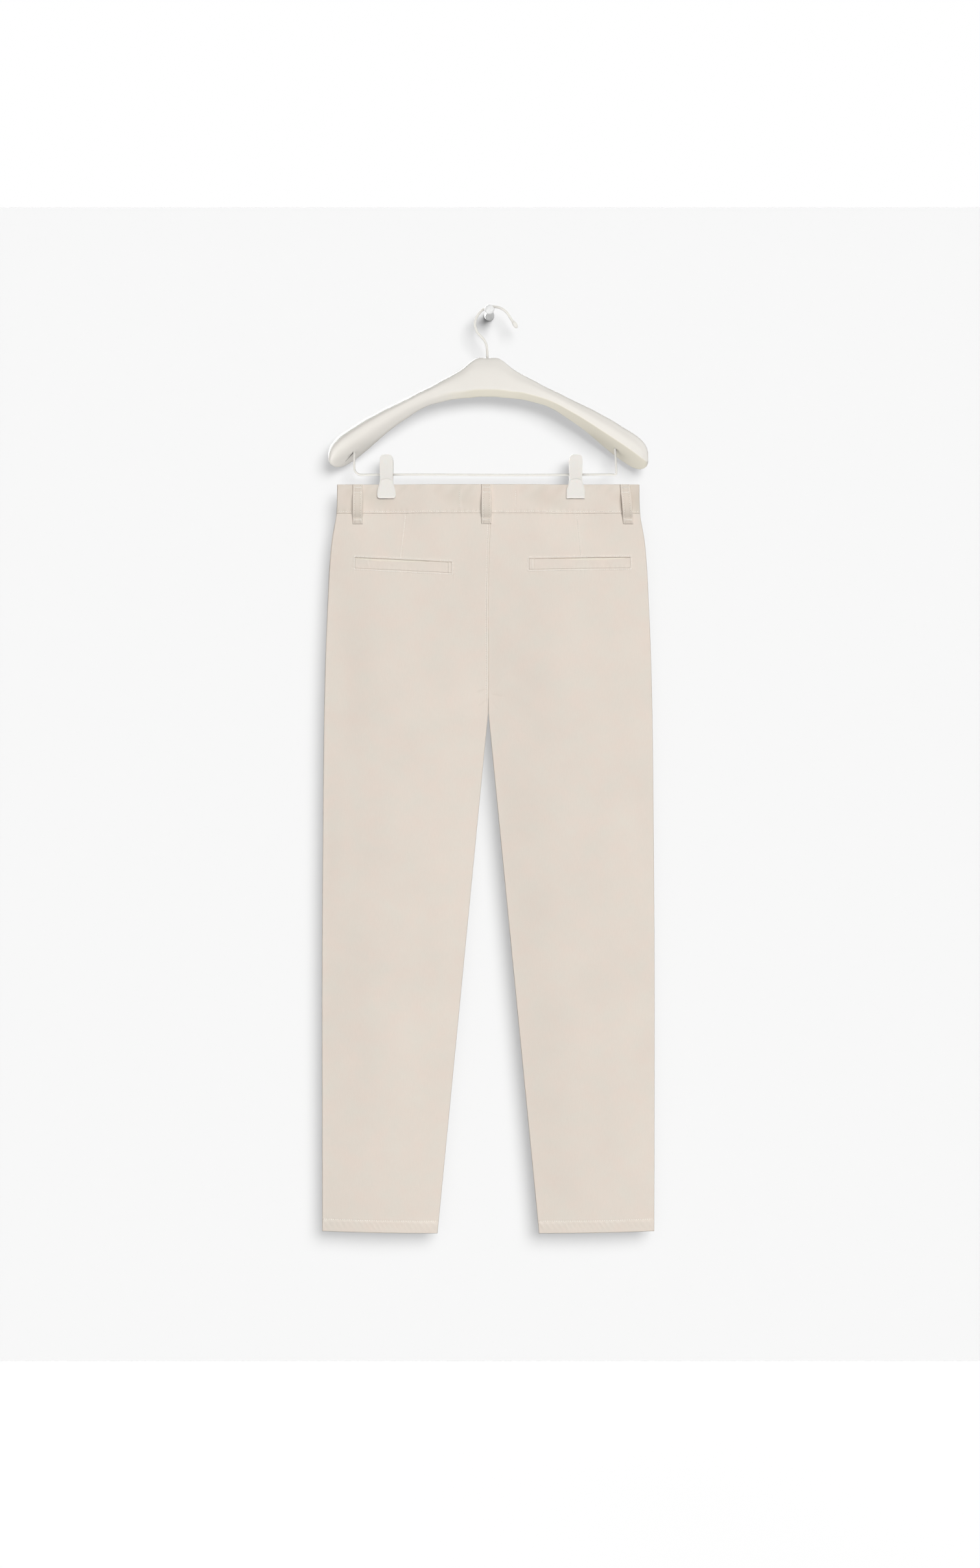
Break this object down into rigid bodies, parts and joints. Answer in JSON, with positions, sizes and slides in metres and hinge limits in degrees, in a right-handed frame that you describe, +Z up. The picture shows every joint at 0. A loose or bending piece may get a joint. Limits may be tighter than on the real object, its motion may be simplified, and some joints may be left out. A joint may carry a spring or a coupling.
{
  "type": "chino trousers on a clip hanger and wall peg",
  "caption": "Flat-hung cotton chino trousers held at the waistband by the clips of a broad-shouldered hanger, whose wire hook rests on a wall peg.",
  "frame": {"origin": "centre of the peg's flat face on the wall", "axes": "+Y into the wall, +Z up, +X to the right of someone facing the wall; the trousers' back faces -Y"},
  "size_m": [0.4722, 0.054, 1.3175],
  "materials": {
    "twill": "smooth matt cotton twill",
    "facing": "smooth matt cotton twill",
    "zip_tape": "woven tape",
    "button": "polished resin",
    "hanger": "satin moulded",
    "wire": "satin coated",
    "clip": "satin moulded",
    "peg": "satin enamel"
  },
  "bodies": {
    "root": {"back_left": "twill", "back_right": "twill", "front_left": "twill", "front_right": "twill", "waistband_back": "twill", "waistband_front_left": "twill", "waistband_front_right": "twill", "belt_loop_back_left": "twill", "belt_loop_back_centre": "twill", "belt_loop_back_right": "twill", "belt_loop_front_left": "twill", "belt_loop_front_right": "twill", "back_welt_left": "twill", "back_welt_right": "twill", "back_pocket_facing_left": "facing", "back_pocket_facing_right": "facing", "front_pocket_facing_left": "facing", "front_pocket_facing_right": "facing", "fly_zip": "zip_tape", "waist_button": "button", "hanger_body": "hanger", "hanger_hook": "wire", "trouser_bar": "wire", "clip_left_outer": "clip", "clip_left_inner": "clip", "clip_right_outer": "clip", "clip_right_inner": "clip", "wall_peg": "peg"}
  },
  "joints": []
}
